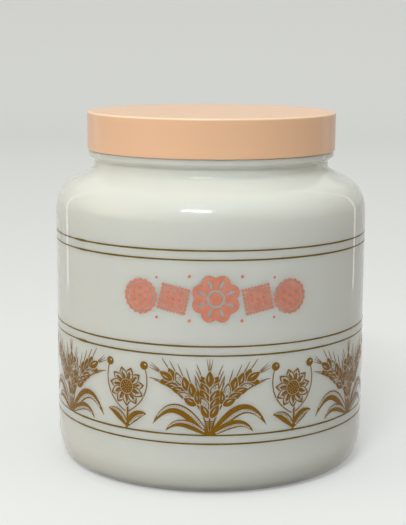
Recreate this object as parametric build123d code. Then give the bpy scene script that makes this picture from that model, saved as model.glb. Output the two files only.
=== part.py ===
from build123d import *
from math import cos, radians, sin, tan
import os

# A glass biscuit jar with a plastic screw lid and a soft sealing liner.
#
# Frame: the origin is the middle of the base, on the surface that the jar stands on. +Z is up, and it
# is the axis of every turned form. Lengths are in millimetres and angles in degrees. The lid is screwed
# down, which is the rest position of its joint.
#
# Each turned form is one outline of (radius, height) points, drawn in the XY plane, stood up in the XZ
# plane and revolved about Z.

# ---------------------------------------------------------------- driving dimensions: glass jar
body_radius = 77.5
straight_side_height = 107.2      # cylindrical side, between the heel and the shoulder
wall_thickness = 3.8
floor_thickness = 4.5             # glass at the middle of the base
push_up_height = 3.0              # how far the middle of the base stands clear of the table
bearing_width = 4.5               # flat ring that touches the table
bearing_edge_radius = 1.2         # rounding between the flat ring and the push-up

heel_lower_radius = 8.5           # the heel is two tangent arcs
heel_upper_radius = 26.0
heel_blend_angle = 23.5           # where they meet, measured from the vertical
inner_heel_radius = 14.0

shoulder_lower_radius = 68.5      # the shoulder is two tangent arcs and a cone
shoulder_upper_radius = 16.3
shoulder_blend_angle = 4.6        # where the arcs meet, measured from the vertical
shoulder_slope = 26.0             # slope of the cone, measured from the horizontal
throat_radius = 4.0               # inner corner between the shoulder and the mouth

neck_radius = 58.3
neck_wall = 4.1
neck_root_radius = 1.2            # concave corner where the cone meets the neck
recess_height = 4.3               # plain neck between the cone and the bead
bead_projection = 2.9             # how far the bead stands out from the neck
bead_height = 4.5
bead_under_slope = 1.5            # rise of the bead's sloping underside
bead_edge_radius = 0.6            # lower edge of the bead
bead_top_edge_radius = 0.3
finish_height = 15.9              # from the top of the bead to the rim
rim_edge_radius = 1.2

# ---------------------------------------------------------------- driving dimensions: screw thread
thread_pitch = 5.08               # right-handed, one start
thread_height = 1.5
thread_turns = 1.0
thread_end_below_rim = 3.6        # from the rim to the middle of the glass thread's upper end
glass_thread_root_width = 2.6
glass_thread_crest_width = 1.2
lid_thread_root_width = 2.2
lid_thread_crest_width = 1.1
thread_radial_clearance = 0.4     # between each crest and the wall that it faces
thread_flank_clearance = 0.2      # under the glass thread, where the lid's thread bears on it
thread_sink = 0.6                 # how far a ridge reaches into its wall, to be one with it
thread_runout_bite = 0.05         # the run-out cuts this far under the wall, so that it fades cleanly

# ---------------------------------------------------------------- driving dimensions: lid and liner
lid_wall = 1.55
lid_top_thickness = 1.8
lid_bottom_gap = 0.3              # between the bead and the lid's bottom edge
lid_top_edge_radius = 0.9
lid_bottom_edge_radius = 0.3
lid_inner_corner_radius = 0.8
liner_thickness = 1.2
liner_side_gap = 0.9              # between the liner's edge and the lid's wall

# ---------------------------------------------------------------- sizes that follow: glass jar
inner_radius = body_radius - wall_thickness
inner_floor_height = push_up_height + floor_thickness
mouth_radius = neck_radius - neck_wall
bead_radius = neck_radius + bead_projection

heel_height = (heel_upper_radius * sin(radians(heel_blend_angle))
               + heel_lower_radius * (1 - sin(radians(heel_blend_angle))))
bearing_outer_radius = (body_radius - heel_upper_radius * (1 - cos(radians(heel_blend_angle)))
                        - heel_lower_radius * cos(radians(heel_blend_angle)))
bearing_inner_radius = bearing_outer_radius - bearing_width

shoulder_height = heel_height + straight_side_height
shoulder_lower_centre = Vector(body_radius - shoulder_lower_radius, shoulder_height)
shoulder_upper_centre = shoulder_lower_centre + Vector(
    (shoulder_lower_radius - shoulder_upper_radius) * cos(radians(shoulder_blend_angle)),
    (shoulder_lower_radius - shoulder_upper_radius) * sin(radians(shoulder_blend_angle)))
shoulder_end_angle = 90 - shoulder_slope


def shoulder_end(inset):
    """Where the shoulder's upper arc ends and the cone begins, on the surface that lies inset deep."""
    reach = shoulder_upper_radius - inset
    angle = radians(shoulder_end_angle)
    return shoulder_upper_centre + Vector(reach * cos(angle), reach * sin(angle))


def cone_height_at(radius, inset):
    """Height of the cone at a radius, on the surface that lies inset deep in the glass."""
    end = shoulder_end(inset)
    return end.Y + (end.X - radius) * tan(radians(shoulder_slope))


neck_height = cone_height_at(neck_radius, 0)
bead_bottom = neck_height + recess_height
bead_top = bead_bottom + bead_height
rim_height = bead_top + finish_height

# ---------------------------------------------------------------- sizes that follow: lid and liner
lid_inner_radius = neck_radius + thread_height + thread_radial_clearance
lid_radius = lid_inner_radius + lid_wall
lid_bottom = bead_top + lid_bottom_gap
lid_underside = rim_height + liner_thickness
lid_top = lid_underside + lid_top_thickness
liner_radius = lid_inner_radius - liner_side_gap

glass_thread_start = rim_height - thread_end_below_rim - thread_turns * thread_pitch
lid_thread_start = (glass_thread_start - thread_flank_clearance
                    - (glass_thread_root_width + lid_thread_crest_width) / 2)


def round_corner(outline, corner, radius):
    """Rounds the corner of a flat outline that lies nearest to a (radius, height) point."""
    return fillet(outline.vertices().sort_by_distance((corner[0], corner[1], 0))[:1], radius)


def turned(outline):
    """Stands a (radius, height) outline up in the XZ plane and revolves it about Z."""
    return revolve(Plane.XZ * outline, axis=Axis.Z)


def thread_ridge(wall_radius, start_height, root_width, crest_width, outward):
    """A trapezoid ridge that climbs anticlockwise round Z and fades into its wall at both ends.

    outward is 1 for a ridge that stands out from the wall and -1 for one that stands in from it.
    """
    helix = Helix(pitch=thread_pitch, height=thread_turns * thread_pitch, radius=wall_radius)
    flank_spread = (root_width - crest_width) / 2 / thread_height
    sunk_half_width = root_width / 2 + thread_sink * flank_spread
    section = make_face(Polyline(
        (-outward * thread_sink, -sunk_half_width),
        (outward * thread_height, -crest_width / 2),
        (outward * thread_height, crest_width / 2),
        (-outward * thread_sink, sunk_half_width),
        close=True))
    start_plane = Plane(origin=helix @ 0, x_dir=(1, 0, 0), z_dir=helix % 0)
    ridge = sweep(start_plane * section, path=helix, is_frenet=True)

    # Each end is cut by a plane that meets an outer wall almost tangentially, or by a cylinder of half
    # the size that meets an inner wall in the same way, so that the ridge's height falls to nothing.
    for turn in (0, thread_turns):
        if outward > 0:
            cutter = Pos(wall_radius * 1.5 - thread_runout_bite, 0, 0) * Box(
                wall_radius, wall_radius, thread_pitch)
        else:
            cutter = Pos((wall_radius + thread_runout_bite) / 2, 0, 0) * Cylinder(
                (wall_radius + thread_runout_bite) / 2, thread_pitch)
        ridge -= Pos(0, 0, turn * thread_pitch) * Rot(0, 0, turn * 360) * cutter
    return Pos(0, 0, start_height) * ridge


def jar_outline():
    """Half section of the glass, without its thread."""
    dome = ThreePointArc(
        (0, push_up_height),
        (bearing_inner_radius / 2, push_up_height * 3 / 4),
        (bearing_inner_radius, 0))
    heel_lower = CenterArc(
        (bearing_outer_radius, heel_lower_radius), heel_lower_radius, -90, 90 - heel_blend_angle)
    heel_upper = CenterArc(
        (body_radius - heel_upper_radius, heel_height), heel_upper_radius,
        -heel_blend_angle, heel_blend_angle)
    shoulder = [
        CenterArc(shoulder_lower_centre, shoulder_lower_radius, 0, shoulder_blend_angle),
        CenterArc(shoulder_upper_centre, shoulder_upper_radius,
                  shoulder_blend_angle, shoulder_end_angle - shoulder_blend_angle)]
    inner_shoulder = [
        CenterArc(shoulder_lower_centre, shoulder_lower_radius - wall_thickness,
                  0, shoulder_blend_angle),
        CenterArc(shoulder_upper_centre, shoulder_upper_radius - wall_thickness,
                  shoulder_blend_angle, shoulder_end_angle - shoulder_blend_angle)]
    inner_heel = CenterArc(
        (inner_radius - inner_heel_radius, inner_floor_height + inner_heel_radius),
        inner_heel_radius, -90, 90)

    throat_height = cone_height_at(mouth_radius, wall_thickness)
    neck = Polyline(
        shoulder[1] @ 1,
        (neck_radius, neck_height),
        (neck_radius, bead_bottom),
        (bead_radius, bead_bottom + bead_under_slope),
        (bead_radius, bead_top),
        (neck_radius, bead_top),
        (neck_radius, rim_height),
        (mouth_radius, rim_height),
        (mouth_radius, throat_height),
        inner_shoulder[1] @ 1)
    edges = [
        dome,
        Line(dome @ 1, heel_lower @ 0),
        heel_lower,
        heel_upper,
        Line(heel_upper @ 1, shoulder[0] @ 0),
        *shoulder,
        neck,
        *inner_shoulder,
        Line(inner_shoulder[0] @ 0, inner_heel @ 1),
        inner_heel,
        Line(inner_heel @ 0, (0, inner_floor_height)),
        Line((0, inner_floor_height), dome @ 0)]
    outline = make_face(Curve() + edges)

    outline = round_corner(outline, (bearing_inner_radius, 0), bearing_edge_radius)
    outline = round_corner(outline, (neck_radius, neck_height), neck_root_radius)
    outline = round_corner(outline, (bead_radius, bead_bottom + bead_under_slope), bead_edge_radius)
    outline = round_corner(outline, (bead_radius, bead_top), bead_top_edge_radius)
    outline = round_corner(outline, (neck_radius, rim_height), rim_edge_radius)
    outline = round_corner(outline, (mouth_radius, rim_height), rim_edge_radius)
    return round_corner(outline, (mouth_radius, throat_height), throat_radius)


def make_jar_body():
    """The glass: one blown piece with its thread on the neck."""
    thread = thread_ridge(
        neck_radius, glass_thread_start, glass_thread_root_width, glass_thread_crest_width, 1)
    return turned(jar_outline()) + thread


def make_lid_cap():
    """The moulded screw lid: a flat top, a plain skirt and the thread inside it."""
    outline = make_face(Polyline(
        (0, lid_top),
        (lid_radius, lid_top),
        (lid_radius, lid_bottom),
        (lid_inner_radius, lid_bottom),
        (lid_inner_radius, lid_underside),
        (0, lid_underside),
        close=True))
    outline = round_corner(outline, (lid_radius, lid_top), lid_top_edge_radius)
    outline = round_corner(outline, (lid_radius, lid_bottom), lid_bottom_edge_radius)
    outline = round_corner(outline, (lid_inner_radius, lid_bottom), lid_bottom_edge_radius)
    outline = round_corner(outline, (lid_inner_radius, lid_underside), lid_inner_corner_radius)
    thread = thread_ridge(
        lid_inner_radius, lid_thread_start, lid_thread_root_width, lid_thread_crest_width, -1)
    return turned(outline) + thread


def make_lid_liner():
    """The soft polyethylene disc that seals the rim, wide enough for the lid's thread to hold it in."""
    return Pos(0, 0, rim_height) * Cylinder(
        liner_radius, liner_thickness, align=(Align.CENTER, Align.CENTER, Align.MIN))


os.makedirs("parts", exist_ok=True)
export_step(make_jar_body(), "parts/jar_body.step")
export_step(make_lid_cap(), "parts/lid_cap.step")
export_step(make_lid_liner(), "parts/lid_liner.step")
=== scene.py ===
import math
import random

import bpy
import numpy as np
from mathutils import Matrix, Vector, geometry


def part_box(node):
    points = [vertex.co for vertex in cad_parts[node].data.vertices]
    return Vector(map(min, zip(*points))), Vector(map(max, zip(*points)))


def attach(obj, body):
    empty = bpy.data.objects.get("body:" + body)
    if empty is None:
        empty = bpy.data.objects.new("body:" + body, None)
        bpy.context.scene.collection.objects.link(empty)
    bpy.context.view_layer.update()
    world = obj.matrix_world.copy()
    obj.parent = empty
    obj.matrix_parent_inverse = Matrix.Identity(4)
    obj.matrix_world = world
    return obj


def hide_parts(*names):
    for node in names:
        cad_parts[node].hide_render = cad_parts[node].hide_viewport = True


# A biscuit jar of opal glass with a printed band, a peach screw lid and a sealing disc.
#
# The jar, the lid, the liner and the print are in millimetres until the last step of each mesh, which
# multiplies by MM. The floor, the lamps and the camera are in metres. The body's radius, the rim, the lid
# and the liner come from the frame. The jar's front faces -Y. Angles round the axis start at the front
# and run anticlockwise, seen from above.

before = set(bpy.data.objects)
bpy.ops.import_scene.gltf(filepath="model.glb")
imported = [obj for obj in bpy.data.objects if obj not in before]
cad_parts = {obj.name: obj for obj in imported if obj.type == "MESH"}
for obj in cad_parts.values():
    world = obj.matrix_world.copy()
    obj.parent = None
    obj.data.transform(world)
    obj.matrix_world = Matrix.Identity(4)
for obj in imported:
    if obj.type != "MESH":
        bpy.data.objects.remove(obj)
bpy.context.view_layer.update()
MM = 0.001
SEED = 12


def millimetres(node):
    """Lowest and highest corner of a CAD node, in millimetres."""
    low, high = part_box(node)
    return low / MM, high / MM


jar_high = millimetres("jar_body")[1]
lid_low, lid_high = millimetres("lid_cap")
liner_low, liner_high = millimetres("lid_liner")

# ---------------- sizes: glass
PRINT_THICKNESS = 0.05
CAD_BODY_RADIUS = jar_high.x
BODY_RADIUS = CAD_BODY_RADIUS - PRINT_THICKNESS  # the print stands out to the CAD's radius
RIM_HEIGHT = jar_high.z
WALL = 3.8
INNER_FLOOR_HEIGHT = 7.5
INNER_HEEL_RADIUS = 14.0
PUSH_UP_HEIGHT = 3.0
BEARING_WIDTH = 4.5
BEARING_EDGE_RADIUS = 1.2
HEEL_LOWER_RADIUS = 8.5
HEEL_UPPER_RADIUS = 26.0
HEEL_BLEND = 23.5  # degrees below level, where the heel's two arcs meet
HEEL_HEIGHT = (HEEL_UPPER_RADIUS * math.sin(math.radians(HEEL_BLEND))
               + HEEL_LOWER_RADIUS * (1 - math.sin(math.radians(HEEL_BLEND))))
STRAIGHT_SIDE = 107.2
SHOULDER_HEIGHT = HEEL_HEIGHT + STRAIGHT_SIDE
SHOULDER_LOWER_RADIUS = 68.5
SHOULDER_UPPER_RADIUS = 16.3
SHOULDER_BLEND = 4.6  # degrees above level, where the shoulder's two arcs meet
SHOULDER_SLOPE = 26.0  # degrees
NECK_RADIUS = 58.3
NECK_ROOT_RADIUS = 2.2
MOUTH_RADIUS = 54.2
THROAT_RADIUS = 4.0
RIM_EDGE_RADIUS = 1.2
BEAD_RADIUS = 61.2
BEAD_HEIGHT = 4.62
BEAD_UNDER_SLOPE = 1.9  # how far the bead's underside climbs on its way out
BEAD_UNDER_RADIUS = 1.0
BEAD_EDGE_RADIUS = 1.2
BEAD_TOP_EDGE_RADIUS = 0.15
BEAD_BACK_RADIUS = 0.3
FINISH_HEIGHT = 15.78
BEAD_TOP = RIM_HEIGHT - FINISH_HEIGHT
BEAD_BOTTOM = BEAD_TOP - BEAD_HEIGHT
KNURL_COUNT = 150
KNURL_DEPTH = 0.55
KNURL_INNER_RADIUS = 65.4
KNURL_OUTER_RADIUS = 70.9
KNURL_FADE = 0.7  # over this width the notches grow to their full depth
BASE_SEAM_HEIGHT = 2.6
BASE_SEAM_DEPTH = 0.16
BASE_SEAM_HALF_WIDTH = 0.28
BASE_SEAM_SWING = 0.45  # the share of its depth that comes and goes round the jar
BASE_SEAM_DEEPEST = math.radians(-50)
SIDE_SEAM_ANGLE = math.radians(97)
SIDE_SEAM_HEIGHT = 0.07
SIDE_SEAM_HALF_WIDTH = 0.4

# ---------------- sizes: thread, lid and liner
PITCH = 5.08
THREAD_HEIGHT = 1.5
THREAD_PLAY = 0.2
THREAD_BELOW_RIM = 3.6
GLASS_THREAD_ROOT = 2.6
GLASS_THREAD_CREST = 1.2
GLASS_THREAD_START = RIM_HEIGHT - THREAD_BELOW_RIM - PITCH
LID_THREAD_ROOT = 2.2
LID_THREAD_CREST = 1.1
LID_THREAD_START = GLASS_THREAD_START - THREAD_PLAY - (GLASS_THREAD_ROOT + LID_THREAD_CREST) / 2
LID_RADIUS = lid_high.x
LID_WALL = 1.55
LID_INNER_RADIUS = LID_RADIUS - LID_WALL
LID_UNDERSIDE = liner_high.z
LID_CORNER_RADIUS = 0.8
LID_LIP_RADIUS = 0.3
LID_TOP_EDGE_RADIUS = 0.9
NICK_ANGLE = math.radians(223)
NICK_HALF_LENGTH = 1.6
NICK_DEPTH = 0.3
LINER_RADIUS = liner_high.x
LINER_EDGE_RADIUS = 0.25

# ---------------- sizes: the print
PRINT_ROOT_RADIUS = BODY_RADIUS - 0.02  # the inner face of all print, just inside the glass
# Height of each line, and how much wider it is where its start and end overlap.
RINGS = ((116.0, 0.75), (111.7, 0.20), (71.9, 0.15), (67.6, 0.55), (30.1, 0.25), (25.9, 0.15))
RING_WIDTH = 0.72
RING_LAP = math.radians(-52)
RING_LAP_HALF_LENGTH = math.radians(3.0)
RING_START_SHARE = 1.08  # of the line's width, where it starts
RING_THINNING = 0.16  # what it loses of that share on its way round
RING_LONG_WAVE = 0.07
RING_SHORT_WAVE = 0.05
BAND_REPEATS = 6
BAND_SPACING = 2 * math.pi * CAD_BODY_RADIUS / BAND_REPEATS
BAND_SINK = 0.004  # keeps its face apart from that of the line that it stands on
GROUND = 30.4  # the height at which the band's plants stand
LINE = 0.46
STIPPLE = 0.22
LEAF_STIPPLE = 0.2
GRAIN_PAIRS = 5
GRAIN_LENGTH = 7.8
GRAIN_WIDTH = 3.9
GRAIN_LEAN = 30  # degrees from the stem
AWN_LENGTH = 7.6
AWN_LEAN = 17
DAISY_HEIGHT = GROUND + 20.0
DAISY_RADIUS = 9.6
DAISY_PETALS = 11
ROW_HEIGHT = 94.0
ROW_SHIFT = 2.5  # the pink row's middle is this far right of the front
FLOWER_BISCUIT_RADIUS = 11.4
OBLONG_BISCUIT = (13.8, 12.4)
OBLONG_TILT = 12
OBLONG_PLACE = 19.4  # from the row's middle
ROUND_BISCUIT_RADIUS = 8.3
ROUND_PLACE = 35.4

# ---------------- colours, in sRGB from 0 to 255
OPAL = (236, 236, 229)
OPAL_CLOUD = (232, 233, 226)
OPAL_SPECK = (190, 184, 170)
PEACH = (252, 203, 166)
PEACH_CLOUD = (250, 200, 163)
# painted highlight: the paler colour along the lid's rounded top edge
PEACH_EDGE_HIGHLIGHT = (253, 224, 190)
LINER_WHITE = (236, 234, 226)
LINER_CLOUD = (226, 223, 212)
BROWN = (137, 94, 6)
BROWN_THIN = (147, 104, 16)
LINE_BROWN = (116, 92, 8)
LINE_BROWN_THIN = (126, 102, 18)
PINK = (224, 139, 118)
PINK_THIN = (232, 162, 140)

# ---------------- the studio, in metres
FLOOR_HALF_WIDTH = 12.0
FLOOR_FRONT = -12.0
FLOOR_BACK = 3.0
FLOOR_BEND = 1.0
KERB_HEIGHT = 0.9
BACKDROP_HEIGHT = 1.4
FLOOR_SEEN = (0.57, 0.58, 0.59, 1)  # linear colours: as the floor is seen, and as it throws light back
FLOOR_LIT = (0.11, 0.115, 0.12, 1)
FLOOR_GLOW = 0.27
LIGHT_TARGET = Vector((0, 0, 0.09))
KEY_AZIMUTH = -12  # degrees from the front, to the right
KEY_ELEVATION = 42  # degrees above level
KEY_DISTANCE = 1.5
KEY_SIZE = (0.46, 0.10)
KEY_POWER = 9.2
KEY_COLOUR = (0.95, 0.99, 0.97)
FRAME_HALF_WIDTH = 0.42
FRAME_BACK = 0.277
FRAME_TOP = 0.56
FRAME_STRIP = 0.028
FRAME_GLOW = 1.1
# Azimuth, elevation, narrowness, strength and colour of each part of the room's light.
GLOWS = (
    (-75, 5, 4.0, 1.85, (1.0, 0.88, 0.73)),  # a warm pale wall on the left
    (80, 5, 4.0, 0.55, (1.0, 0.74, 0.50)),  # a dimmer wall on the right
    (10, 85, 1.8, 0.30, (0.72, 1.0, 1.0)),  # a cool ceiling
    (KEY_AZIMUTH, KEY_ELEVATION, 30.0, 1.6, (0.86, 1.0, 1.0)),  # a haze round the key lamp
    (70, 55, 5.0, 0.40, (0.94, 1.0, 0.98)),  # a window high on the right
    (180, 28, 5.0, 0.9, (1.0, 0.97, 0.92)),  # a window behind the jar
)
EVEN_STRENGTH = 0.17
EVEN_COLOUR = (1.0, 0.84, 0.66)
# The camera stands 0.66 m in front of the axis and 0.213 m above the table, and looks 10 degrees down.
CAMERA_PLACE = Vector((-0.00038, -0.65963, 0.21326))
CAMERA_PITCH = 0.17421
CAMERA_YAW = -0.00522
CAMERA_ROLL = 0.0058
FOCAL_PIXELS = 1316.85
PICTURE_HEIGHT_PIXELS = 525
SENSOR_MM = 36.0


# ================ turned meshes
def arc(centre, radius, start, end, steps):
    """Points of an arc in the (radius, height) plane; angles in degrees from the outward direction."""
    angles = np.radians(np.linspace(start, end, steps + 1))
    return [(centre[0] + radius * math.cos(a), centre[1] + radius * math.sin(a)) for a in angles]


def rounded(corner, before, after, radius, steps=6):
    """Points that replace a corner between two neighbours by an arc of the given radius."""
    corner, before, after = (np.array(p, float) for p in (corner, before, after))
    to_before = (before - corner) / np.linalg.norm(before - corner)
    to_after = (after - corner) / np.linalg.norm(after - corner)
    half = math.acos(np.clip(to_before @ to_after, -1, 1)) / 2
    bisector = (to_before + to_after) / np.linalg.norm(to_before + to_after)
    centre = corner + bisector * radius / math.sin(half)
    first = corner + to_before * radius / math.tan(half) - centre
    last = corner + to_after * radius / math.tan(half) - centre
    start = math.atan2(first[1], first[0])
    sweep = (math.atan2(last[1], last[0]) - start + math.pi) % (2 * math.pi) - math.pi
    angles = [start + sweep * k / steps for k in range(steps + 1)]
    return [tuple(centre + radius * np.array((math.cos(a), math.sin(a)))) for a in angles]


def dense(points, longest):
    """The same outline with its long straight runs divided, no piece longer than given."""
    out = [points[0]]
    for p, q in zip(points, points[1:]):
        length = math.dist(p, q)
        if length < 1e-6:
            continue
        pieces = max(1, math.ceil(length / longest))
        out += [(p[0] + (q[0] - p[0]) * k / pieces, p[1] + (q[1] - p[1]) * k / pieces)
                for k in range(1, pieces + 1)]
    return out


def lathe(name, outline, angles, relief=None):
    """A turned mesh from an outline of (radius, height) points that starts and ends on the axis.

    The outline keeps the material on its left. relief(angle, radius, height, out_r, out_z) gives how far
    the surface stands out along its own normal, all as arrays of one row for each outline point and one
    column for each angle.
    """
    points = np.array(outline, float)
    inner = points[1:-1]
    across = np.ones(len(angles))
    radius = np.outer(inner[:, 0], across)
    height = np.outer(inner[:, 1], across)
    turn = np.outer(np.ones(len(inner)), angles)
    if relief:
        step = points[2:] - points[:-2]
        normal = np.stack([step[:, 1], -step[:, 0]], 1)
        normal /= np.linalg.norm(normal, axis=1)[:, None]
        out_r = np.outer(normal[:, 0], across)
        out_z = np.outer(normal[:, 1], across)
        stand = relief(turn, radius, height, out_r, out_z)
        radius = radius + stand * out_r
        height = height + stand * out_z
    ring = np.stack([radius * np.sin(turn), -radius * np.cos(turn), height], 2)
    rows, columns = ring.shape[:2]
    verts = np.concatenate([ring.reshape(-1, 3), [(0, 0, points[0][1]), (0, 0, points[-1][1])]]) * MM
    first_pole, last_pole = rows * columns, rows * columns + 1
    here = np.arange(columns)
    there = np.roll(here, -1)
    faces = []
    for row in range(rows - 1):
        low, high = row * columns, (row + 1) * columns
        faces += np.stack([low + here, low + there, high + there, high + here], 1).tolist()
    faces += [(first_pole, int(b), int(a)) for a, b in zip(here, there)]
    top = (rows - 1) * columns
    faces += [(last_pole, int(top + a), int(top + b)) for a, b in zip(here, there)]
    return new_mesh(name, verts, faces, smooth=True)


def new_mesh(name, verts, faces, smooth):
    mesh = bpy.data.meshes.new(name)
    mesh.from_pydata([tuple(v) for v in verts], [], faces)
    mesh.update()
    if smooth:
        mesh.shade_smooth()
    obj = bpy.data.objects.new(name, mesh)
    bpy.context.scene.collection.objects.link(obj)
    return obj


def even_angles(count, extra=()):
    """Angles round the axis, with more of them near each (middle, reach, number) of extra."""
    angles = [2 * math.pi * k / count for k in range(count)]
    for middle, reach, number in extra:
        angles += [(middle + reach * (k / number * 2 - 1)) % (2 * math.pi) for k in range(number + 1)]
    angles = np.unique(np.round(angles, 6))
    return angles[:-1] if angles[-1] > 2 * math.pi - 1e-5 else angles


def thread_relief(turn, height, start, root, crest, surface_radius):
    """Height of a one-turn trapezoid ridge that climbs anticlockwise and runs out straight at its ends."""
    round_from_x = (turn - math.pi / 2) % (2 * math.pi)  # the CAD's thread starts at +X
    middle = start + PITCH * round_from_x / (2 * math.pi)
    flank = (root - crest) / 2
    ridge = np.clip((root / 2 - np.abs(height - middle)) / flank, 0, 1) * THREAD_HEIGHT
    from_end = np.minimum(round_from_x, 2 * math.pi - round_from_x)
    fade = surface_radius * (1 / np.cos(np.minimum(from_end, 1.0)) - 1)
    return np.minimum(ridge, fade)


# ================ the glass jar
def base_outline():
    """The underside with its push-up, and the heel as far as the straight side."""
    blend = math.radians(HEEL_BLEND)
    flat_outer = (BODY_RADIUS - HEEL_UPPER_RADIUS * (1 - math.cos(blend))
                  - HEEL_LOWER_RADIUS * math.cos(blend))
    flat_inner = flat_outer - BEARING_WIDTH
    dome_steps = 24
    dome = [(flat_inner * k / dome_steps, PUSH_UP_HEIGHT * (1 - (k / dome_steps) ** 2))
            for k in range(dome_steps)]
    points = dome + rounded((flat_inner, 0), dome[-1], (flat_outer, 0), BEARING_EDGE_RADIUS)
    points += arc((flat_outer, HEEL_LOWER_RADIUS), HEEL_LOWER_RADIUS, -90, -HEEL_BLEND, 60)
    points += arc((BODY_RADIUS - HEEL_UPPER_RADIUS, HEEL_HEIGHT), HEEL_UPPER_RADIUS, -HEEL_BLEND, 0, 10)
    return points


def up_the_slope(point, radius):
    """Where the straight slope that starts at a point of the shoulder reaches a smaller radius."""
    return radius, point[1] + (point[0] - radius) * math.tan(math.radians(SHOULDER_SLOPE))


def glass_outline():
    """The glass from the middle of its underside, up the outside, over the rim and down the inside."""
    lower = (BODY_RADIUS - SHOULDER_LOWER_RADIUS, SHOULDER_HEIGHT)
    shift = SHOULDER_LOWER_RADIUS - SHOULDER_UPPER_RADIUS
    upper = (lower[0] + shift * math.cos(math.radians(SHOULDER_BLEND)),
             lower[1] + shift * math.sin(math.radians(SHOULDER_BLEND)))
    end = 90 - SHOULDER_SLOPE
    outer_shoulder = arc(lower, SHOULDER_LOWER_RADIUS, 0, SHOULDER_BLEND, 4)
    outer_shoulder += arc(upper, SHOULDER_UPPER_RADIUS, SHOULDER_BLEND, end, 24)
    inner_shoulder = arc(upper, SHOULDER_UPPER_RADIUS - WALL, end, SHOULDER_BLEND, 12)
    inner_shoulder += arc(lower, SHOULDER_LOWER_RADIUS - WALL, SHOULDER_BLEND, 0, 3)

    neck_root = up_the_slope(outer_shoulder[-1], NECK_RADIUS)
    under = (NECK_RADIUS, BEAD_BOTTOM)
    bead_low = (BEAD_RADIUS, BEAD_BOTTOM + BEAD_UNDER_SLOPE)
    bead_high = (BEAD_RADIUS, BEAD_TOP)
    bead_back = (NECK_RADIUS, BEAD_TOP)
    rim_outer = (NECK_RADIUS, RIM_HEIGHT)
    rim_inner = (MOUTH_RADIUS, RIM_HEIGHT)
    throat = up_the_slope(inner_shoulder[0], MOUTH_RADIUS)
    finish_rows = 64
    finish_start = BEAD_TOP + 2 * BEAD_BACK_RADIUS
    finish_end = RIM_HEIGHT - RIM_EDGE_RADIUS

    points = base_outline() + outer_shoulder
    points += rounded(neck_root, outer_shoulder[-1], under, NECK_ROOT_RADIUS)
    points += rounded(under, neck_root, bead_low, BEAD_UNDER_RADIUS)
    points += rounded(bead_low, under, bead_high, BEAD_EDGE_RADIUS)
    points += rounded(bead_high, bead_low, bead_back, BEAD_TOP_EDGE_RADIUS)
    points += rounded(bead_back, bead_high, rim_outer, BEAD_BACK_RADIUS, 3)
    points += [(NECK_RADIUS, finish_start + (finish_end - finish_start) * k / finish_rows)
               for k in range(finish_rows)]
    points += rounded(rim_outer, bead_back, rim_inner, RIM_EDGE_RADIUS)
    points += rounded(rim_inner, rim_outer, throat, RIM_EDGE_RADIUS)
    points += rounded(throat, rim_inner, inner_shoulder[0], THROAT_RADIUS)
    points += inner_shoulder
    heel = (BODY_RADIUS - WALL - INNER_HEEL_RADIUS, INNER_FLOOR_HEIGHT + INNER_HEEL_RADIUS)
    points += arc(heel, INNER_HEEL_RADIUS, 0, -90, 12)
    points += [(0, INNER_FLOOR_HEIGHT)]
    return dense(points, 6.0)


def knurl_notches(turn, radius, height):
    """Depth of the notches under the heel."""
    middle = (KNURL_INNER_RADIUS + KNURL_OUTER_RADIUS) / 2
    half = (KNURL_OUTER_RADIUS - KNURL_INNER_RADIUS) / 2
    window = np.clip((half - np.abs(radius - middle)) / KNURL_FADE, 0, 1) * (height < HEEL_LOWER_RADIUS)
    return KNURL_DEPTH * window * (0.5 - 0.5 * np.cos(turn * KNURL_COUNT))


def base_seam(turn, height):
    """Depth of the groove that the mould's base leaves round the heel."""
    groove = np.exp(-((height - BASE_SEAM_HEIGHT) / BASE_SEAM_HALF_WIDTH) ** 2) * BASE_SEAM_DEPTH
    return groove * (1 - BASE_SEAM_SWING + BASE_SEAM_SWING * np.cos(turn - BASE_SEAM_DEEPEST))


def side_seams(turn, radius):
    """Height of the two upright ridges that the mould's halves leave."""
    gap = (turn - SIDE_SEAM_ANGLE + math.pi / 2) % math.pi - math.pi / 2
    return np.exp(-(gap * radius / SIDE_SEAM_HALF_WIDTH) ** 2) * SIDE_SEAM_HEIGHT


def glass_relief(turn, radius, height, out_r, out_z):
    """Thread on the neck, knurled heel, and the faint seams that the mould leaves."""
    outside = (out_r > 0.02) | (height < 1.0)  # leans outward, or is the ring that the jar rests on
    on_neck = (np.abs(radius - NECK_RADIUS) < 0.01) & (height > BEAD_TOP)
    on_body = outside & (height > BASE_SEAM_HEIGHT) & (height < BEAD_TOP)
    on_heel = outside & (height < HEEL_LOWER_RADIUS)
    thread = thread_relief(turn, height, GLASS_THREAD_START, GLASS_THREAD_ROOT, GLASS_THREAD_CREST,
                           NECK_RADIUS)
    return (np.where(on_neck, thread, 0) - knurl_notches(turn, radius, height)
            + np.where(on_body, side_seams(turn, radius), 0)
            - np.where(on_heel, base_seam(turn, height), 0))


def make_jar():
    seams = [(SIDE_SEAM_ANGLE + half_turn, math.radians(0.9), 12) for half_turn in (0, math.pi)]
    angles = even_angles(KNURL_COUNT * 4, seams)
    jar = lathe("jar_glass", glass_outline(), angles, glass_relief)
    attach(jar, "jar")
    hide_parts("jar_body")
    jar.data.materials.append(opal_glass())


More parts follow.
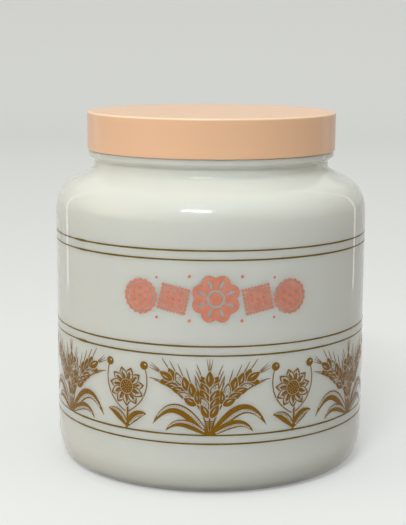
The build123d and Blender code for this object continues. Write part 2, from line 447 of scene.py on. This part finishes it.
# ================ lid and liner
def lid_outline():
    """The lid from the middle of its underside, down the inside, up the outside to the top."""
    inner_top = (LID_INNER_RADIUS, LID_UNDERSIDE)
    inner_low = (LID_INNER_RADIUS, lid_low.z)
    outer_low = (LID_RADIUS, lid_low.z)
    outer_top = (LID_RADIUS, lid_high.z)
    thread_rows = 60
    high = LID_UNDERSIDE - LID_CORNER_RADIUS
    low = lid_low.z + LID_LIP_RADIUS
    points = [(0, LID_UNDERSIDE)]
    points += rounded(inner_top, points[0], inner_low, LID_CORNER_RADIUS)
    points += [(LID_INNER_RADIUS, high + (low - high) * k / thread_rows) for k in range(1, thread_rows)]
    points += rounded(inner_low, inner_top, outer_low, LID_LIP_RADIUS)
    points += rounded(outer_low, inner_low, outer_top, LID_LIP_RADIUS)
    points += rounded(outer_top, outer_low, (0, lid_high.z), LID_TOP_EDGE_RADIUS, 10)
    points += [(0, lid_high.z)]
    return dense(points, 3.0)


def lid_relief(turn, radius, height, out_r, out_z):
    """Thread on the inside, and a small nick in the top edge."""
    inside = (np.abs(radius - LID_INNER_RADIUS) < 0.01) & (height < LID_UNDERSIDE)
    thread = thread_relief(turn, height, LID_THREAD_START, LID_THREAD_ROOT, LID_THREAD_CREST,
                           LID_INNER_RADIUS)
    top_edge = (out_r > 0.05) & (out_z > 0.05)
    from_nick = (turn - NICK_ANGLE) * LID_RADIUS / NICK_HALF_LENGTH
    nick = NICK_DEPTH * np.exp(-from_nick ** 4)
    return np.where(inside, thread, 0) - np.where(top_edge, nick, 0)


def make_lid():
    angles = even_angles(360, [(NICK_ANGLE, math.radians(2.5), 14)])
    lid = lathe("screw_lid", lid_outline(), angles, lid_relief)
    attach(lid, "lid")
    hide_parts("lid_cap")
    lid.data.materials.append(lid_plastic())


def make_liner():
    top, low = liner_high.z, liner_low.z
    points = [(0, low)]
    points += rounded((LINER_RADIUS, low), (0, low), (LINER_RADIUS, top), LINER_EDGE_RADIUS, 4)
    points += rounded((LINER_RADIUS, top), (LINER_RADIUS, low), (0, top), LINER_EDGE_RADIUS, 4)
    points += [(0, top)]
    liner = lathe("sealing_disc", dense(points, 4.0), even_angles(180))
    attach(liner, "liner")
    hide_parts("lid_liner")
    liner.data.materials.append(liner_plastic())


# ================ the print
# The print is drawn flat, in millimetres along the body's girth (from the front, to the right) and up
# it. Each shape is ink or bare glass over whatever lies below it, as paper cut-outs would be.
class Print:
    """Flat shapes in the order that they are laid down."""

    def __init__(self):
        self.shapes = []

    def shape(self, points, ink=True):
        points = [Vector(p) for p in points]
        area = sum(a.x * b.y - b.x * a.y for a, b in zip(points, points[1:] + points[:1]))
        self.shapes.append((points if area > 0 else points[::-1], ink))

    def stroke(self, points, width, first, last):
        """A line that is widest in its middle; first and last are its ends' share of that width."""
        points = [Vector(p) for p in points]
        left, right = [], []
        for k, point in enumerate(points):
            t = k / (len(points) - 1)
            side = sideways(points[min(k + 1, len(points) - 1)] - points[max(k - 1, 0)])
            end = first if t < 0.5 else last
            half = width / 2 * (end + (1 - end) * math.sin(math.pi * t) ** 0.6)
            left.append(point + side * half)
            right.append(point - side * half)
        self.shape(left + right[::-1])

    def dot(self, centre, radius, ink=True, corners=10):
        centre = Vector(centre)
        self.shape([centre + radius * Vector((math.cos(a), math.sin(a)))
                    for a in np.linspace(0, 2 * math.pi, corners, endpoint=False)], ink)

    def stipple(self, centre, radius=STIPPLE):
        """A dot so small that six corners are enough."""
        self.dot(centre, radius, corners=6)

    def blade(self, base, tip, width, ink=True, steps=9):
        """A pointed oval from base to tip."""
        base, tip = Vector(base), Vector(tip)
        side = sideways(tip - base)
        left, right = [], []
        for k in range(steps + 1):
            t = k / steps
            middle = base + (tip - base) * t
            half = width / 2 * math.sin(math.pi * t ** 0.85) ** 0.85
            left.append(middle + side * half)
            right.append(middle - side * half)
        self.shape(left + right[-2:0:-1], ink)

    def outlined_blade(self, base, tip, width, line):
        """A pointed oval with bare glass inside its outline."""
        self.blade(base, tip, width)
        inset = (tip - base).normalized() * line * 2.2
        self.blade(base + inset, tip - inset, width - 2 * line, ink=False)


def sideways(along):
    """Unit vector a quarter turn to the left of another."""
    return Vector((-along.y, along.x)).normalized()


def turned_by(vector, degrees):
    angle = math.radians(degrees)
    return Vector((vector.x * math.cos(angle) - vector.y * math.sin(angle),
                   vector.x * math.sin(angle) + vector.y * math.cos(angle)))


def curve_points(corners, steps):
    """Points of a Bezier curve of any order."""
    out = []
    for k in range(steps + 1):
        level = [Vector(c) for c in corners]
        while len(level) > 1:
            level = [a.lerp(b, k / steps) for a, b in zip(level, level[1:])]
        out.append(level[0])
    return out


def cut_print(sheet, columns):
    """Triangles of the ink alone: corners on the flat, and faces, cut at each upright line."""
    points, edges, faces = [], [], []
    for shape, _ in sheet.shapes:
        faces.append(tuple(range(len(points), len(points) + len(shape))))
        points += shape
    low = min(p.y for p in points) - 1
    high = max(p.y for p in points) + 1
    for column in columns:
        edges.append((len(points), len(points) + 1))
        points += [Vector((column, low)), Vector((column, high))]
    corners, _, triangles, _, _, origins = geometry.delaunay_2d_cdt(points, edges, faces, 1, 1e-5, True)
    inked = [t for t, over in zip(triangles, origins) if over and sheet.shapes[max(over)][1]]
    return corners, inked


def printed_mesh(name, corners, triangles, repeats=1, spacing=0.0, sink=0.0):
    """The ink as a thin closed mesh round the body, its outer face sink below the CAD's radius."""
    used = sorted({i for t in triangles for i in t})
    place = {i: k for k, i in enumerate(used)}
    triangles = [tuple(place[i] for i in t) for t in triangles]
    sides = dict.fromkeys((a, b) for t in triangles for a, b in zip(t, t[1:] + t[:1]))
    rim = [(a, b) for a, b in sides if (b, a) not in sides]  # no triangle lies on the other side
    verts, faces = [], []
    count = len(used)
    for copy in range(repeats):
        shift = len(verts)
        for radius in (CAD_BODY_RADIUS - sink, PRINT_ROOT_RADIUS):
            for i in used:
                angle = (corners[i].x + copy * spacing) / CAD_BODY_RADIUS
                verts.append((radius * math.sin(angle), -radius * math.cos(angle), corners[i].y))
        for a, b, c in triangles:
            faces.append((shift + a, shift + b, shift + c))
            faces.append((shift + count + c, shift + count + b, shift + count + a))
        for a, b in rim:
            faces.append((shift + b, shift + a, shift + count + a, shift + count + b))
    ink = new_mesh(name, np.array(verts) * MM, faces, smooth=True)
    ink.data.set_sharp_from_angle(angle=math.radians(40))
    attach(ink, "jar")
    return ink


def upright_lines(first, last):
    """Places of the cuts that let the flat print bend round the body."""
    step = CAD_BODY_RADIUS * math.radians(1.2)
    return [k * step for k in range(math.ceil(first / step), math.floor(last / step) + 1)]


# ---------------- the gold-brown band
def lengths_along(path):
    """Distance from the start of a path to each of its points."""
    lengths = [0.0]
    for a, b in zip(path, path[1:]):
        lengths.append(lengths[-1] + (b - a).length)
    return lengths


def place_along(path, lengths, distance):
    """The point at a distance along a path, and the path's direction there."""
    k = max(1, next((i for i, s in enumerate(lengths) if s >= distance), len(path) - 1))
    t = (distance - lengths[k - 1]) / (lengths[k] - lengths[k - 1])
    return path[k - 1].lerp(path[k], t), (path[k] - path[k - 1]).normalized()


def wheat_ear(sheet, stem, start, size, dice):
    """An ear along the last part of a stem, which begins at the share start of its length."""
    path = curve_points(stem, 40)
    lengths = lengths_along(path)
    sheet.stroke(path[:30], LINE * 1.6, 1.0, 0.8)
    step = (lengths[-1] * (1 - start)) / GRAIN_PAIRS
    for k in range(GRAIN_PAIRS - 1, -1, -1):
        point, along = place_along(path, lengths, lengths[-1] * start + step * (k + 0.35))
        for side in (-1, 1):
            grain_with_awn(sheet, point, along, k, side, size, dice)
    point, along = place_along(path, lengths, lengths[-1])
    for angle in (-9, 0, 9):
        sheet.stroke(curve_points([point + along * 3, point + along * 4,
                                   point + along * 3 + turned_by(along, angle) * 9 * size], 4),
                     LINE, 1.0, 0.25)
    grain(sheet, point - along * 1.5, point + along * 6.2 * size, 3.7 * size, 1, False, dice)


def grain_with_awn(sheet, point, along, number, side, size, dice):
    """A grain that leans out from the stem, over the awn that grows from its tip."""
    fade = 1 - 0.22 * abs(number - GRAIN_PAIRS * 0.35) / GRAIN_PAIRS
    reach = turned_by(along, -side * GRAIN_LEAN) * GRAIN_LENGTH * size * fade
    outward = turned_by(along, -side * 90) * 0.5
    base = point + outward * size
    tip = base + reach
    awn = turned_by(along, -side * AWN_LEAN) * (AWN_LENGTH - 0.5 * number) * size
    awn_path = curve_points([tip - reach * 0.1, tip + awn * 0.5, tip + awn + outward], 5)
    sheet.stroke(awn_path, LINE, 1.0, 0.25)
    pale = (2 * number + (side > 0)) % 5 == 2
    grain(sheet, base, tip, GRAIN_WIDTH * size * fade, side, pale, dice)


def grain(sheet, base, tip, width, side, pale, dice):
    """One grain, solid or stippled: a clear edge round it keeps it apart from its neighbours."""
    along = (tip - base).normalized()
    clear = along * 0.45
    sheet.blade(base - clear, tip + clear, width + 0.8, ink=False)
    across = Vector((-along.y, along.x))
    if pale:
        sheet.outlined_blade(base, tip, width, LINE)
        for _ in range(9):
            spot = base.lerp(tip, dice.uniform(0.25, 0.75)) + across * dice.uniform(-0.28, 0.28) * width
            sheet.stipple(spot)
        return
    sheet.blade(base, tip, width)
    middle = base.lerp(tip, 0.52) + across * side * width * 0.13
    half = (tip - base) * 0.24
    sheet.blade(middle - half, middle + half, width * 0.17, ink=False, steps=5)


def long_leaf(sheet, corners, width, dice):
    """A drooping blade with one half solid and the other bare and stippled."""
    path = curve_points(corners, 22)
    left, right = [], []
    for k, point in enumerate(path):
        t = k / (len(path) - 1)
        ahead = (path[min(k + 1, len(path) - 1)] - path[max(k - 1, 0)]).normalized()
        side = Vector((-ahead.y, ahead.x))
        half = width / 2 * math.sin(math.pi * (0.04 + 0.96 * t) ** 0.9) ** 0.8
        left.append(point + side * half)
        right.append(point - side * half)
    sheet.shape(left + right[::-1])
    bare = [r.lerp(m, 0.30) for r, m in zip(right, path)][2:-2]
    inner = [m.lerp(r, 0.06) for r, m in zip(right, path)][2:-2]
    sheet.shape(inner + bare[::-1], ink=False)
    for k in range(4, len(path) - 4):
        sheet.stipple(path[k].lerp(right[k], dice.uniform(0.22, 0.55)), LEAF_STIPPLE)


def daisy(sheet, centre, radius, petals, dice):
    """A flower seen from the front: shaded petals round a solid, dotted middle."""
    for k in range(petals):
        out = turned_by(Vector((1, 0)), 360 * k / petals + 9)
        across = Vector((-out.y, out.x))
        base, tip = centre + out * radius * 0.20, centre + out * radius
        sheet.blade(base, tip + out * 0.5, radius * 0.54, ink=False)
        sheet.outlined_blade(base, tip, radius * 0.49, LINE * 1.1)
        sheet.blade(base, base.lerp(tip, 0.72) + across * 0.2, radius * 0.20)
        for _ in range(5):
            spot = base.lerp(tip, dice.uniform(0.50, 0.80)) + across * dice.uniform(-0.13, 0.13) * radius
            sheet.stipple(spot)
    sheet.dot(centre, radius * 0.38, ink=False, corners=24)
    sheet.dot(centre, radius * 0.34, corners=24)
    for ring, (number, reach) in enumerate(((1, 0.0), (6, 0.13), (11, 0.24))):
        for k in range(number):
            spot = centre + turned_by(Vector((reach * radius, 0)), 360 * k / number + 20 * ring)
            sheet.dot(spot, 0.26, ink=False, corners=7)


def draw_sheaf(sheet, dice):
    """Three ears, with drooping leaves on both sides of the stems and a tie round them."""
    for side in (-1, 1):
        long_leaf(sheet, [(side * 0.6, GROUND), (side * 9, GROUND + 9), (side * 17, GROUND + 20),
                          (side * 27, GROUND + 3.5)], 5.0, dice)
        long_leaf(sheet, [(side * 0.8, GROUND), (side * 7, GROUND + 3.8), (side * 15, GROUND + 9),
                          (side * 20.5, GROUND + 0.9)], 3.8, dice)
        wheat_ear(sheet, [(side * 0.5, GROUND), (side * 3, GROUND + 13), (side * 8.5, GROUND + 20),
                          (side * 18.5, GROUND + 26.0)], 0.42, 0.95, dice)
    wheat_ear(sheet, [(0, GROUND), (0, GROUND + 12), (0, GROUND + 24)], 0.28, 1.0, dice)
    for k in range(4):
        height = GROUND + 3.4 + k * 0.95
        sheet.stroke([(-2.2, height + 0.3), (0, height - 0.25), (2.2, height + 0.3)], 0.62, 0.8, 0.8)


def draw_daisy_plant(sheet, middle, dice):
    """A daisy that fills the gap between two sheaves, with a leaf and a bud on each side."""
    centre = Vector((middle, DAISY_HEIGHT))
    sheet.stroke(curve_points([(middle, GROUND), (middle + 1.2, GROUND + 7), centre], 14),
                 LINE * 2.2, 1.0, 1.0)
    for side in (-1, 1):
        bud = Vector((middle + side * 9.4, GROUND + 31.0))
        sheet.stroke(curve_points([(middle + side * 0.6, GROUND + 8), (middle + side * 10, GROUND + 13),
                                   (middle + side * 13, GROUND + 22), bud], 14), LINE * 1.2, 1.0, 0.8)
        sheet.dot(bud, 2.0, corners=16)
        sheet.dot(bud + Vector((0.5, 0.5)), 0.55, ink=False, corners=8)
        long_leaf(sheet, [(middle + 0.3, GROUND + 1.0), (middle + side * 4.5, GROUND + 8.5),
                          (middle + side * 10.5, GROUND + 8.0)], 4.4, dice)
    daisy(sheet, centre, DAISY_RADIUS, DAISY_PETALS, dice)


def make_band():
    dice = random.Random(SEED)
    sheet = Print()
    draw_sheaf(sheet, dice)
    draw_daisy_plant(sheet, BAND_SPACING / 2, dice)
    corners, triangles = cut_print(sheet, upright_lines(-BAND_SPACING, BAND_SPACING))
    band = printed_mesh("wheat_band_print", corners, triangles, BAND_REPEATS, BAND_SPACING, BAND_SINK)
    band.data.materials.append(brown_enamel())


# ---------------- the pink row of biscuits
def scalloped(centre, radius, lobes, depth, steps=8):
    """A round outline with lobes, from one cusp to the next."""
    points = []
    for k in range(lobes * steps):
        share = (k % steps) / steps
        reach = radius * (1 - depth + depth * math.sin(math.pi * share))
        angle = 2 * math.pi * k / (lobes * steps)
        points.append(Vector(centre) + reach * Vector((math.cos(angle), math.sin(angle))))
    return points


def bare_ring(sheet, centre, outer, inner):
    sheet.dot(centre, outer, ink=False, corners=48)
    sheet.dot(centre, inner, corners=48)


def round_biscuit(sheet, centre, radius):
    sheet.shape(scalloped(centre, radius, 18, 0.07))
    bare_ring(sheet, centre, radius * 0.80, radius * 0.73)
    sheet.dot(centre, 0.6, ink=False)
    for k in range(6):
        spot = Vector(centre) + turned_by(Vector((radius * 0.42, 0)), 60 * k + 30)
        sheet.dot(spot, 0.6, ink=False)


def toothed_side(start, end, teeth, tooth):
    """Points along one side of a rectangle that runs anticlockwise, with teeth that reach out to it."""
    steps = teeth * 6
    out = turned_by((end - start).normalized(), -90)
    points = []
    for k in range(steps):
        bump = abs(math.sin(math.pi * (k / steps) * teeth)) * tooth
        points.append(start.lerp(end, k / steps) + out * (bump - tooth))
    return points


def oblong_biscuit(sheet, centre, size, tilt):
    """A rectangle with a toothed edge, an inner line and rows of holes."""
    centre = Vector(centre)
    width, height = size

    def place(x, y):
        return centre + turned_by(Vector((x, y)), tilt)

    corners = [Vector((x * width / 2, y * height / 2)) for x, y in ((-1, -1), (1, -1), (1, 1), (-1, 1))]
    outline = []
    for start, end, teeth in zip(corners, corners[1:] + corners[:1], (9, 7, 9, 7)):
        outline += [place(point.x, point.y) for point in toothed_side(start, end, teeth, 0.55)]
    sheet.shape(outline)
    for inset, ink in ((1.35, False), (1.85, True)):
        x, y = width / 2 - inset, height / 2 - inset
        sheet.shape([place(-x, -y), place(x, -y), place(x, y), place(-x, y)], ink)
    for column in (-1, 0, 1):
        for row in (-1, 0, 1):
            sheet.dot(place(column * width * 0.21, row * height * 0.20), 0.52, ink=False)


def flower_biscuit(sheet, centre, radius):
    sheet.shape(scalloped(centre, radius, 8, 0.16, 14))
    for k in range(8):
        out = turned_by(Vector((1, 0)), 45 * k + 22.5)
        sheet.blade(Vector(centre) + out * radius * 0.42, Vector(centre) + out * radius * 0.84,
                    1.5, ink=False)
    bare_ring(sheet, centre, radius * 0.37, radius * 0.27)


def make_biscuit_row():
    """A flower-shaped biscuit between oblong and round ones, with small dots in the gaps."""
    sheet = Print()
    flower_biscuit(sheet, (ROW_SHIFT, ROW_HEIGHT), FLOWER_BISCUIT_RADIUS)
    for side in (-1, 1):
        oblong_biscuit(sheet, (ROW_SHIFT + side * OBLONG_PLACE, ROW_HEIGHT - 0.4), OBLONG_BISCUIT,
                       side * OBLONG_TILT)
        round_biscuit(sheet, (ROW_SHIFT + side * ROUND_PLACE, ROW_HEIGHT), ROUND_BISCUIT_RADIUS)
        for lift in (-1, 1):
            sheet.dot((ROW_SHIFT + side * 12.0, ROW_HEIGHT + lift * 10.2), 0.8)
            sheet.dot((ROW_SHIFT + side * 27.4, ROW_HEIGHT + lift * 9.2), 0.65)
    corners, triangles = cut_print(sheet, upright_lines(-60, 60))
    row = printed_mesh("biscuit_row_print", corners, triangles)
    row.data.materials.append(pink_enamel())


# ---------------- the lines round the body
def ring_half_width(angle, height, lap_gain):
    """Half the width of a line at an angle: it thins out from its start, and is wide at its lap."""
    from_lap = (angle - RING_LAP) % (2 * math.pi)
    to_lap = min(from_lap, 2 * math.pi - from_lap) / RING_LAP_HALF_LENGTH
    share = RING_START_SHARE - RING_THINNING * from_lap / (2 * math.pi) + lap_gain * math.exp(-to_lap ** 4)
    long_wave = RING_LONG_WAVE * math.sin(5 * angle + height)
    short_wave = RING_SHORT_WAVE * math.sin(23 * angle + 2 * height)
    return RING_WIDTH * share * (1 + long_wave + short_wave) / 2


def ring_strip(height, lap_gain):
    """Corners and faces of a line printed once round the body."""
    count = 480
    verts, faces = [], []
    for k in range(count):
        angle = 2 * math.pi * k / count
        half = ring_half_width(angle, height, lap_gain)
        for radius, lift in ((PRINT_ROOT_RADIUS, -half), (CAD_BODY_RADIUS, -half),
                             (CAD_BODY_RADIUS, half), (PRINT_ROOT_RADIUS, half)):
            verts.append((radius * math.sin(angle), -radius * math.cos(angle), height + lift))
    for k in range(count):
        a, b = 4 * k, 4 * ((k + 1) % count)
        for i in range(4):
            j = (i + 1) % 4
            faces.append((a + i, b + i, b + j, a + j))
    return verts, faces


def make_rings():
    verts, faces = [], []
    for height, lap_gain in RINGS:
        shift = len(verts)
        strip_verts, strip_faces = ring_strip(height, lap_gain)
        verts += strip_verts
        faces += [tuple(i + shift for i in face) for face in strip_faces]
    rings = new_mesh("printed_rings", np.array(verts) * MM, faces, smooth=False)
    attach(rings, "jar")
    rings.data.materials.append(line_enamel())


# ================ materials
def srgb(colour):
    """A colour given as 0 to 255 in sRGB, as linear numbers with alpha."""
    def linear(value):
        value /= 255
        return value / 12.92 if value <= 0.04045 else ((value + 0.055) / 1.055) ** 2.4
    return (*(linear(value) for value in colour), 1.0)


class Tree:
    """The node tree of a material or a world, with short calls to add and join its nodes."""

    def __init__(self, owner):
        owner.use_nodes = True
        self.tree = owner.node_tree

    def add(self, kind, **values):
        node = self.tree.nodes.new(kind)
        for key, value in values.items():
            setattr(node, key, value)
        return node

    def link(self, source, target):
        self.tree.links.new(source, target)

    def maths(self, operation, source, other):
        """The result for a socket and a second socket or a float."""
        node = self.add("ShaderNodeMath", operation=operation)
        self.link(source, node.inputs[0])
        if isinstance(other, float):
            node.inputs[1].default_value = other
        else:
            self.link(other, node.inputs[1])
        return node.outputs[0]


class Nodes(Tree):
    """A new material and its nodes."""

    def __init__(self, name):
        self.material = bpy.data.materials.new(name)
        super().__init__(self.material)
        self.shader = self.tree.nodes["Principled BSDF"]
        self.place = self.add("ShaderNodeTexCoord").outputs["Object"]

    def noise(self, scale, detail=3.0, roughness=0.5):
        """Noise over the object's own coordinates; scale is in features per metre."""
        noise = self.add("ShaderNodeTexNoise")
        noise.inputs["Scale"].default_value = scale
        noise.inputs["Detail"].default_value = detail
        noise.inputs["Roughness"].default_value = roughness
        self.link(self.place, noise.inputs["Vector"])
        return noise.outputs["Fac"]

    def ramp(self, source, low, high, low_value=0.0, high_value=1.0):
        """Maps low..high of the source to low_value..high_value, clamped."""
        node = self.add("ShaderNodeMapRange")
        for key, value in (("From Min", low), ("From Max", high),
                           ("To Min", low_value), ("To Max", high_value)):
            node.inputs[key].default_value = value
        self.link(source, node.inputs["Value"])
        return node.outputs["Result"]

    def mix(self, factor, first, second):
        """A colour between first and second, each a colour or a socket."""
        node = self.add("ShaderNodeMix", data_type="RGBA")
        self.link(factor, node.inputs["Factor"])
        for key, value in ((6, first), (7, second)):
            if isinstance(value, tuple):
                node.inputs[key].default_value = value
            else:
                self.link(value, node.inputs[key])
        return node.outputs[2]

    def out_and_up(self):
        """Distance from the axis plus height, which is the same all along a slope of 45 degrees."""
        parts = self.add("ShaderNodeSeparateXYZ")
        self.link(self.place, parts.inputs[0])
        flat = self.add("ShaderNodeCombineXYZ")
        self.link(parts.outputs["X"], flat.inputs["X"])
        self.link(parts.outputs["Y"], flat.inputs["Y"])
        length = self.add("ShaderNodeVectorMath", operation="LENGTH")
        self.link(flat.outputs[0], length.inputs[0])
        return self.maths("ADD", length.outputs["Value"], parts.outputs["Z"])

    def seen_directly(self):
        """1 for camera, glossy and transmission rays, and 0 for the light that a surface throws back."""
        light_path = self.add("ShaderNodeLightPath")
        total = light_path.outputs["Is Camera Ray"]
        for ray in ("Is Glossy Ray", "Is Transmission Ray"):
            total = self.maths("MAXIMUM", total, light_path.outputs[ray])
        return total

    def bump(self, layers):
        """Chains bumps; each layer is (height socket, distance in millimetres)."""
        normal = None
        for height, distance in layers:
            node = self.add("ShaderNodeBump")
            node.inputs["Strength"].default_value = 1.0
            node.inputs["Distance"].default_value = distance * MM
            self.link(height, node.inputs["Height"])
            if normal:
                self.link(normal, node.inputs["Normal"])
            normal = node.outputs["Normal"]
        self.link(normal, self.shader.inputs["Normal"])

    def set(self, **values):
        """Constant values of the shader's own sockets; _ stands for a space in a name."""
        for key, value in values.items():
            self.shader.inputs[key.replace("_", " ")].default_value = value


def opal_glass():
    """Milky glass with soft clouds, a few dark specks and a gently uneven surface."""
    n = Nodes("opal_glass")
    cloud = n.ramp(n.noise(14, 2), 0.35, 0.65)
    base = n.mix(cloud, srgb(OPAL), srgb(OPAL_CLOUD))
    speck = n.ramp(n.noise(700, 1), 0.81, 0.84, 0.0, 0.35)
    n.link(n.mix(speck, base, srgb(OPAL_SPECK)), n.shader.inputs["Base Color"])
    n.link(n.ramp(n.noise(60, 3), 0.3, 0.7, 0.015, 0.03), n.shader.inputs["Roughness"])
    n.bump([(n.noise(18, 1), 0.25), (n.noise(90, 2), 0.015)])
    n.set(IOR=1.52, Subsurface_Weight=0.9, Subsurface_Scale=0.009, Subsurface_Radius=(1.0, 0.95, 0.9))
    return n.material


def lid_plastic():
    """Satin plastic, with a painted highlight: paler along its rounded top edge."""
    n = Nodes("lid_plastic")
    cloud = n.ramp(n.noise(30, 3), 0.3, 0.7)
    base = n.mix(cloud, srgb(PEACH), srgb(PEACH_CLOUD))
    top_edge = (LID_RADIUS + lid_high.z) * MM
    # Painted highlight: the colour turns paler along the rounded top edge, where that edge catches the
    # light.
    edge = n.ramp(n.out_and_up(), top_edge - 1.0 * MM, top_edge - 0.65 * MM)
    n.link(n.mix(edge, base, srgb(PEACH_EDGE_HIGHLIGHT)), n.shader.inputs["Base Color"])
    n.bump([(n.noise(40, 1), 0.015)])
    n.set(IOR=1.49, Roughness=0.26)
    return n.material


def liner_plastic():
    """Dull white polyethylene."""
    n = Nodes("liner_plastic")
    n.link(n.mix(n.ramp(n.noise(80, 4), 0.3, 0.7), srgb(LINER_WHITE), srgb(LINER_CLOUD)),
           n.shader.inputs["Base Color"])
    n.link(n.ramp(n.noise(400, 3), 0.3, 0.7, 0.5, 0.65), n.shader.inputs["Roughness"])
    n.bump([(n.noise(700, 3), 0.03)])
    return n.material


def enamel(name, main, thin):
    """Screen-printed enamel: nearly flat colour, a little thinner and paler in places."""
    n = Nodes(name)
    patch = n.ramp(n.noise(420, 4, 0.6), 0.42, 0.75)
    n.link(n.mix(patch, srgb(main), srgb(thin)), n.shader.inputs["Base Color"])
    n.link(n.ramp(n.noise(600, 3), 0.3, 0.7, 0.22, 0.34), n.shader.inputs["Roughness"])
    n.bump([(n.noise(1400, 3), 0.006)])
    n.set(IOR=1.4, Specular_IOR_Level=0.25)
    return n.material


def brown_enamel():
    return enamel("brown_enamel", BROWN, BROWN_THIN)


def line_enamel():
    """The band's brown, laid on thicker and darker in the fine lines."""
    return enamel("line_enamel", LINE_BROWN, LINE_BROWN_THIN)


def pink_enamel():
    return enamel("pink_enamel", PINK, PINK_THIN)


# ================ floor, light and camera
def floor_material():
    """Pale where it is seen or mirrored, but it throws little light back at the jar."""
    n = Nodes("floor")
    seen = n.seen_directly()
    n.link(n.mix(seen, FLOOR_LIT, FLOOR_SEEN), n.shader.inputs["Base Color"])
    n.link(n.ramp(seen, 0, 1, 0.0, FLOOR_GLOW), n.shader.inputs["Emission Strength"])
    n.set(Emission_Color=(1, 1, 1, 1), Roughness=0.9, Specular_IOR_Level=0.1)
    return n.material


def make_floor():
    """A pale floor with a low kerb far out, and a backdrop behind the jar, all with rounded corners."""
    bend = FLOOR_BEND
    curve = [(0.0, 0.0)] + [(bend * math.sin(a), bend - bend * math.cos(a))
                            for a in np.linspace(0.1, math.pi / 2, 12)]
    low_curve = [(out, up * KERB_HEIGHT / bend) for out, up in curve]
    across = [(bend - FLOOR_HALF_WIDTH - out, up) for out, up in reversed(low_curve)]
    across += [(FLOOR_HALF_WIDTH - bend + out, up) for out, up in low_curve]
    along = [(FLOOR_FRONT + bend - out, up) for out, up in reversed(low_curve)]
    along += [(FLOOR_BACK - bend + out, up) for out, up in curve] + [(FLOOR_BACK, BACKDROP_HEIGHT)]
    verts = [(x, y, max(side, end)) for y, end in along for x, side in across]
    columns = len(across)
    starts = [row * columns + k for row in range(len(along) - 1) for k in range(columns - 1)]
    faces = [(i, i + 1, i + columns + 1, i + columns) for i in starts]
    floor = new_mesh("floor", verts, faces, smooth=True)
    floor.data.materials.append(floor_material())


def area_light(name, place, target, size, power, colour=(1, 1, 1)):
    data = bpy.data.lights.new(name, "AREA")
    data.shape = "RECTANGLE"
    data.size, data.size_y = size
    data.energy = power
    data.color = colour
    lamp = bpy.data.objects.new(name, data)
    lamp.location = place
    aim = Vector(target) - Vector(place)
    lamp.rotation_euler = aim.to_track_quat("-Z", "Y").to_euler()
    bpy.context.scene.collection.objects.link(lamp)
    return lamp


def direction(azimuth, elevation):
    """Unit vector; azimuth in degrees from the front, to the right."""
    a, e = math.radians(azimuth), math.radians(elevation)
    return Vector((math.sin(a) * math.cos(e), -math.cos(a) * math.cos(e), math.sin(e)))


class World(Tree):
    """The room's light: an even light with a sum of glows, each with its own colour."""

    def __init__(self):
        world = bpy.data.worlds.new("studio")
        bpy.context.scene.world = world
        super().__init__(world)
        self.place = self.add("ShaderNodeTexCoord").outputs["Generated"]
        self.even = self.tree.nodes["Background"]
        self.total = self.even.outputs[0]

    def glow(self, towards, narrow, strength, colour):
        """Light that is brightest in one direction and fades to nothing at right angles to it."""
        facing = self.add("ShaderNodeVectorMath", operation="DOT_PRODUCT")
        facing.inputs[1].default_value = towards
        self.link(self.place, facing.inputs[0])
        lobe = self.maths("POWER", self.maths("MAXIMUM", facing.outputs["Value"], 0.0), narrow)
        background = self.add("ShaderNodeBackground")
        background.inputs["Color"].default_value = (*colour, 1)
        self.link(self.maths("MULTIPLY", lobe, strength), background.inputs["Strength"])
        both = self.add("ShaderNodeAddShader")
        self.link(self.total, both.inputs[0])
        self.link(background.outputs[0], both.inputs[1])
        self.total = both.outputs[0]

    def finish(self, strength, colour):
        """Sets the even part of the light and joins everything to the world's output."""
        self.even.inputs["Color"].default_value = (*colour, 1)
        self.even.inputs["Strength"].default_value = strength
        self.link(self.total, self.tree.nodes["World Output"].inputs["Surface"])


def make_world():
    room = World()
    for azimuth, elevation, narrow, strength, colour in GLOWS:
        room.glow(direction(azimuth, elevation), narrow, strength, colour)
    room.finish(EVEN_STRENGTH, EVEN_COLOUR)


def strip_light(name, place, target, size):
    """A lamp that the camera doesn't see, of the same glow whatever its size."""
    lamp = area_light(name, place, target, size, FRAME_GLOW * math.pi * size[0] * size[1])
    lamp.visible_camera = False


def make_lamps():
    """A key lamp, and a frame of three dim strips behind the jar that draws fine lines on its shoulder."""
    place = LIGHT_TARGET + direction(KEY_AZIMUTH, KEY_ELEVATION) * KEY_DISTANCE
    area_light("key", place, LIGHT_TARGET, KEY_SIZE, KEY_POWER, KEY_COLOUR)
    for side in (-1, 1):
        strip_light("frame_side", (side * FRAME_HALF_WIDTH, FRAME_BACK, FRAME_TOP / 2),
                    (0, 0, FRAME_TOP / 2), (FRAME_STRIP, FRAME_TOP))
    strip_light("frame_top", (0, FRAME_BACK, FRAME_TOP), LIGHT_TARGET, (2 * FRAME_HALF_WIDTH, FRAME_STRIP))


def make_camera():
    data = bpy.data.cameras.new("camera")
    data.sensor_width = SENSOR_MM
    data.sensor_fit = "AUTO"
    data.lens = FOCAL_PIXELS / PICTURE_HEIGHT_PIXELS * SENSOR_MM
    data.clip_start = 0.01
    camera = bpy.data.objects.new("camera", data)
    ahead = Vector((math.sin(CAMERA_YAW) * math.cos(CAMERA_PITCH),
                    math.cos(CAMERA_YAW) * math.cos(CAMERA_PITCH), -math.sin(CAMERA_PITCH)))
    right = Vector((math.cos(CAMERA_YAW), -math.sin(CAMERA_YAW), 0))
    up = right.cross(ahead)
    rolled_right = math.cos(CAMERA_ROLL) * right + math.sin(CAMERA_ROLL) * up
    rolled_up = math.cos(CAMERA_ROLL) * up - math.sin(CAMERA_ROLL) * right
    turn = Matrix((rolled_right, rolled_up, -ahead)).transposed()
    camera.matrix_world = Matrix.Translation(CAMERA_PLACE) @ turn.to_4x4()
    bpy.context.scene.collection.objects.link(camera)
    bpy.context.scene.camera = camera


make_jar()
make_lid()
make_liner()
make_rings()
make_band()
make_biscuit_row()
make_floor()
make_world()
make_lamps()
make_camera()
bpy.context.scene.view_settings.view_transform = "Standard"
